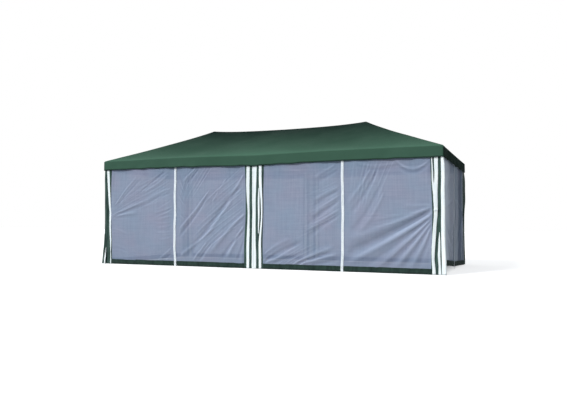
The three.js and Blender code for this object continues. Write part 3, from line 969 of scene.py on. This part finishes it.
FLAT_STRIPS = [
    ("loose_strip_middle", "front_wall_right", -1, "white", 7, [
        (1835, 118, 50, 10, 0), (1500, 117, 52, 12, 100), (1340, 124, 60, 14, 200), (1150, 142, 40, 18, 400),
        (970, 147, 36, 18, 500), (800, 146, 32, 16, 400), (600, 126, 36, 14, 300), (420, 114, 46, 14, 100),
        (240, 118, 46, 14, 0), (0, 122, 46, 12, 0),
    ]),
    ("twisted_strip_middle", "front_wall_right", -1, "white", 8, [
        (1320, 98, 14, 22, 0), (1150, 94, 34, 14, 200), (970, 92, 34, 12, 300), (800, 93, 30, 12, 400),
        (580, 86, 12, 10, 200),
    ]),
    ("loose_strip_right", "front_wall_right", 1, "white", 9, [
        (1835, 86, 58, 10, 0), (1430, 85, 48, 12, 100), (1200, 94, 64, 12, 100), (1080, 93, 62, 12, 100),
        (950, 87, 52, 12, 200), (850, 88, 52, 14, 200), (730, 103, 44, 16, 300), (620, 104, 52, 18, 200),
        (390, 121, 48, 16, 100), (210, 127, 40, 15, 300), (120, 114, 42, 14, 100), (0, 110, 52, 14, 0),
    ]),
    ("thin_strip_right", "front_wall_right", 1, "white", 10, [
        (620, 36, 6, 12, 0), (500, 37, 26, 16, 200), (300, 43, 36, 20, 200), (120, 30, 32, 20, 200),
        (0, 28, 42, 16, 0),
    ]),
    ("slanting_fold_right", "front_wall_right", 1, "white", 12, [
        (1800, 150, 8, 12, 0), (1430, 134, 22, 14, 200), (1300, 128, 28, 14, 200), (1120, 112, 20, 16, 200),
    ]),
    ("loose_strip_left", "front_wall_left", -1, "green", 11, [
        (550, 0, 14, 16, 200), (300, -12, 34, 18, 300), (120, -28, 44, 20, 300), (0, -40, 40, 22, 200),
    ]),
    ("white_tip_left", "front_wall_left", -1, "white", 13, [
        (300, 30, 6, 20, 200), (200, 24, 20, 22, 400), (100, 12, 50, 24, 500), (0, -4, 60, 26, 400),
    ]),
]


def build_tie(name, centre, reach, tall, colour):
    """A strap tied in a flat loop round a leg, with half its width and depth in reach."""
    levels = np.linspace(-tall / 2, tall / 2, 5)
    angle, level = np.meshgrid(np.linspace(0, 2 * math.pi, 40, endpoint=False), levels)
    ring_x = reach[0] * np.sign(np.cos(angle)) * np.abs(np.cos(angle)) ** 0.75
    ring_y = reach[1] * np.sign(np.sin(angle)) * np.abs(np.sin(angle)) ** 0.75
    ring_z = level + 0.10 * ring_x + 0.0015 * np.sin(5 * angle + level)
    points = np.dstack([ring_x, ring_y, ring_z]) + np.array(centre)
    length = 2 * math.pi * math.sqrt((reach[0] ** 2 + reach[1] ** 2) / 2)
    flat = np.dstack([angle / (2 * math.pi) * length, level])
    piece = new_piece(name, points, grid_faces(*angle.shape, closed=True), [colour], flat, CLOTH_THICKNESS)
    attach(piece)


def build_leg_ties():
    """Each leg's tie goes round the tube and is sewn to the back of the band."""
    for row, side in (("front", -1), ("back", 1)):
        for column in ("left", "middle", "right"):
            leg = middle(f"lower_leg_{row}_{column}")
            inner, outer = abs(leg.y) - 0.018, WALL_Y - 0.001
            centre, reach = (leg.x, side * (inner + outer) / 2, TIE_HEIGHT), (0.019, (outer - inner) / 2)
            build_tie(f"tie_{row}_{column}", centre, reach, 0.016, "green")


LOOP_WIDTH = 0.024
LOOP_SPACING = 0.45
LOOP_RADIUS = 0.0128


def loop_profile():
    """The loop's path round its rail, as (outwards, height) from the wall's plane."""
    rail_out, rail_height = middle("upper_leg_back_right").y - WALL_Y, middle("eave_rail_front_left").z
    over = np.linspace(math.radians(-12), math.radians(192), 15)
    path = [(0.0022, WALL_TOP - 0.045), (0.0022, WALL_TOP - 0.012)]
    path += [(rail_out + LOOP_RADIUS * math.cos(a), rail_height + LOOP_RADIUS * math.sin(a)) for a in over]
    path += [(-0.020, WALL_TOP - 0.004), (-0.0022, WALL_TOP - 0.020), (-0.0022, WALL_TOP - 0.045)]
    return np.array(path)


def build_loops(name, wall, side, first, last):
    """The hanging loops along the top of a net, each sewn to both of its faces and passed over the rail."""
    path = loop_profile()
    count = max(2, round((last - first) / LOOP_SPACING) + 1)
    run = np.concatenate([[0], np.cumsum(np.hypot(*np.diff(path, axis=0).T))])
    edges = LOOP_WIDTH * np.array((-0.5, 0.0, 0.5))
    d, along = np.meshgrid(edges, run)
    out, z = (np.broadcast_to(column[:, None], d.shape) for column in path.T)
    points, faces = [], []
    for index, centre in enumerate(np.linspace(first + 0.03, last - 0.04, count)):
        points.append(place_half(wall, side, centre + d, out, z))
        faces += [tuple(index * d.size + i for i in face) for face in grid_faces(*d.shape)]
    piece = new_piece(name, points, faces, ["hem"], [np.dstack([d, along])] * count, 0.0009)
    attach(piece)
    return piece


# ---- zips

TOOTH_PITCH = 0.006
TOOTH_DEPTH, TOOTH_WIDTH, TOOTH_TALL = 0.0046, 0.0026, 0.0034
TOOTH_FACES = [(0, 1, 3, 2), (4, 6, 7, 5), (0, 4, 5, 1), (2, 3, 7, 6), (0, 2, 6, 4), (1, 5, 7, 3)]


def build_tape(wall_node, side):
    """A zip tape with its row of teeth, on the half curtain's moving body."""
    wall = WALLS[wall_node]
    across = np.linspace(TEETH_GAP * 0.45, TAPE_HALF, 6)
    d, z = np.meshgrid(across, np.linspace(GROUND_GAP, WALL_TOP, 122))
    edge_dip = 0.0006 * np.cos(2 * math.pi * (d - across[0]) / (across[-1] - across[0]))
    out = 0.0042 + edge_dip + 0.0008 * ripple(z, 0 * z, 0.4, 80)
    points = wall.at(side * d + zip_wave(wall_node, z), out, z).reshape(-1, 3)
    faces = facing(grid_faces(*d.shape), -side)
    flat = np.dstack([d, z]).reshape(-1, 2)

    levels = np.arange(GROUND_GAP + 0.01, WALL_TOP - 0.01, TOOTH_PITCH) + (TOOTH_PITCH / 2 if side > 0 else 0)
    level, up, deep, wide = np.meshgrid(levels, (-0.5, 0.5), (0, 1), (0, 1), indexing="ij")
    u = side * (TEETH_GAP * 0.12 + TOOTH_WIDTH * wide) + zip_wave(wall_node, level)
    teeth = wall.at(u, 0.0024 + TOOTH_DEPTH * deep, level + TOOTH_TALL * up).reshape(-1, 3)
    teeth_flat = np.stack([TOOTH_WIDTH * wide, level], axis=-1).reshape(-1, 2)
    for first in range(len(points), len(points) + len(teeth), 8):
        faces += [tuple(first + i for i in face) for face in TOOTH_FACES]
    points, flat = np.concatenate([points, teeth]), np.concatenate([flat, teeth_flat])
    piece = new_piece(f"zip_tape_{wall.name}_{SIDES[side]}", points, faces, ["tape"], flat)
    attach(piece, f"{wall_node}_zip_tape_{SIDES[side]}", f"{wall_node}_curtain_{SIDES[side]}")


# ---- build everything

build_canopy()
for node in WALLS:
    for half in SIDES:
        build_band(node, half)
    if node.startswith("back"):
        build_back_wall(node)
        continue
    for half in SIDES:
        build_net_half(node, half)
        build_tape(node, half)
for strip in CORNER_STRIPS:
    build_corner_strip(*strip)
for strip in FLAT_STRIPS:
    build_flat_strip(*strip)
build_leg_ties()
WRAP_PLACE = (WALL_X - 0.088, -WALL_Y - 0.013, 0.945)
build_tie("strip_wrap_right", WRAP_PLACE, (0.028, 0.009), 0.030, "white")

# ---- carried-over frame parts

for name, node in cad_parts.items():
    if node.hide_render:
        continue
    finish = "fitting" if "fitting" in name else "metal" if "slider" in name else "tube"
    if not node.material_slots:
        node.data.materials.append(MATERIALS[finish])
    for slot in node.material_slots:
        slot.material = MATERIALS[finish]
    node.data.shade_smooth()
    node.data.set_sharp_from_angle(angle=math.radians(35))

# ---- stage, light and camera

KEY_FROM = Vector((-0.36, -0.74, 0.57)).normalized()
DOME_FROM = Vector((-0.72, -0.20, 0.66)).normalized()
KEY_STRENGTH = 2.5
BOUNCE_POWER = 26.0
FILL_LOW, FILL_HIGH = 0.25, 0.74


def build_floor():
    """A pale floor that glows a little, and less under the tent as painted shadow, and lights nothing."""
    mesh = bpy.data.meshes.new("floor")
    corners = [(-90, -90, -0.001), (90, -90, -0.001), (90, 90, -0.001), (-90, 90, -0.001)]
    mesh.from_pydata(corners, [], [(0, 1, 2, 3)])
    floor = show("floor", mesh)
    nodes = new_material("pale_floor")
    place = nodes.apart(nodes.place())
    # Painted shadow: the glow fades under the tent.
    outside = [
        nodes.spread(nodes.math("ABSOLUTE", place[axis]), 0.0, 1.0, half - 0.25, half + 0.05)
        for axis, half in (("X", WALL_X), ("Y", WALL_Y))
    ]
    glow = nodes.spread(nodes.math("MAXIMUM", *outside), 0.16, 0.66)
    white = (1, 1, 1, 1)
    nodes.feed(Base_Color=(0.60, 0.60, 0.60, 1), Roughness=1.0, Specular_IOR_Level=0.0)
    nodes.feed(Emission_Color=white, Emission_Strength=glow)
    mesh.materials.append(nodes.owner)
    floor.visible_diffuse = False
    floor.visible_glossy = False


def build_key():
    data = bpy.data.lights.new("key", "SUN")
    data.energy = KEY_STRENGTH
    data.angle = math.radians(14)
    light = show("key", data)
    light.rotation_euler = KEY_FROM.to_track_quat("Z", "Y").to_euler()
    light.location = KEY_FROM * 12


def build_bounce():
    """The pale floor's light on the inside of the tent."""
    data = bpy.data.lights.new("floor_bounce", "AREA")
    data.shape = "RECTANGLE"
    data.size, data.size_y = 2 * WALL_X - 0.2, 2 * WALL_Y - 0.2
    data.energy = BOUNCE_POWER
    light = show("floor_bounce", data)
    light.location = (0, 0, 0.01)
    light.rotation_euler = (math.pi, 0, 0)
    light.visible_camera = False


def build_world():
    """A softbox dome that is brighter towards the key, and white where the camera looks past the floor."""
    world = bpy.context.scene.world = bpy.data.worlds.new("studio")
    nodes = Nodes(world)
    dome, end = nodes.tree.nodes["Background"], nodes.tree.nodes["World Output"]
    where = nodes.add("ShaderNodeTexCoord").outputs["Generated"]
    toward = nodes.add("ShaderNodeVectorMath", {0: where, 1: DOME_FROM}, operation="DOT_PRODUCT")
    strength = nodes.spread(toward.outputs["Value"], FILL_LOW, FILL_HIGH, -0.6, 0.9)
    nodes.fill(dome, {"Color": (0.92, 0.96, 1.0, 1), "Strength": strength})
    seen = nodes.add("ShaderNodeBackground", {"Color": (1.0, 1.0, 1.0, 1)}).outputs[0]
    by_camera = nodes.add("ShaderNodeLightPath").outputs["Is Camera Ray"]
    mix = nodes.add("ShaderNodeMixShader", {0: by_camera, 1: dome.outputs[0], 2: seen})
    nodes.fill(end, {"Surface": mix.outputs[0]})


def build_camera():
    data = bpy.data.cameras.new("camera")
    data.sensor_width, data.lens = 36.0, 40.51
    data.shift_x, data.shift_y = 0.0757, 0.0266
    data.clip_end = 400.0
    camera = bpy.context.scene.camera = show("camera", data)
    camera.location = (4.206, -11.077, 0.698)
    camera.rotation_euler = (math.radians(90.67), math.radians(-0.24), math.radians(24.84))


build_floor()
build_world()
build_key()
build_bounce()
build_camera()
bpy.context.scene.view_settings.view_transform = "Standard"
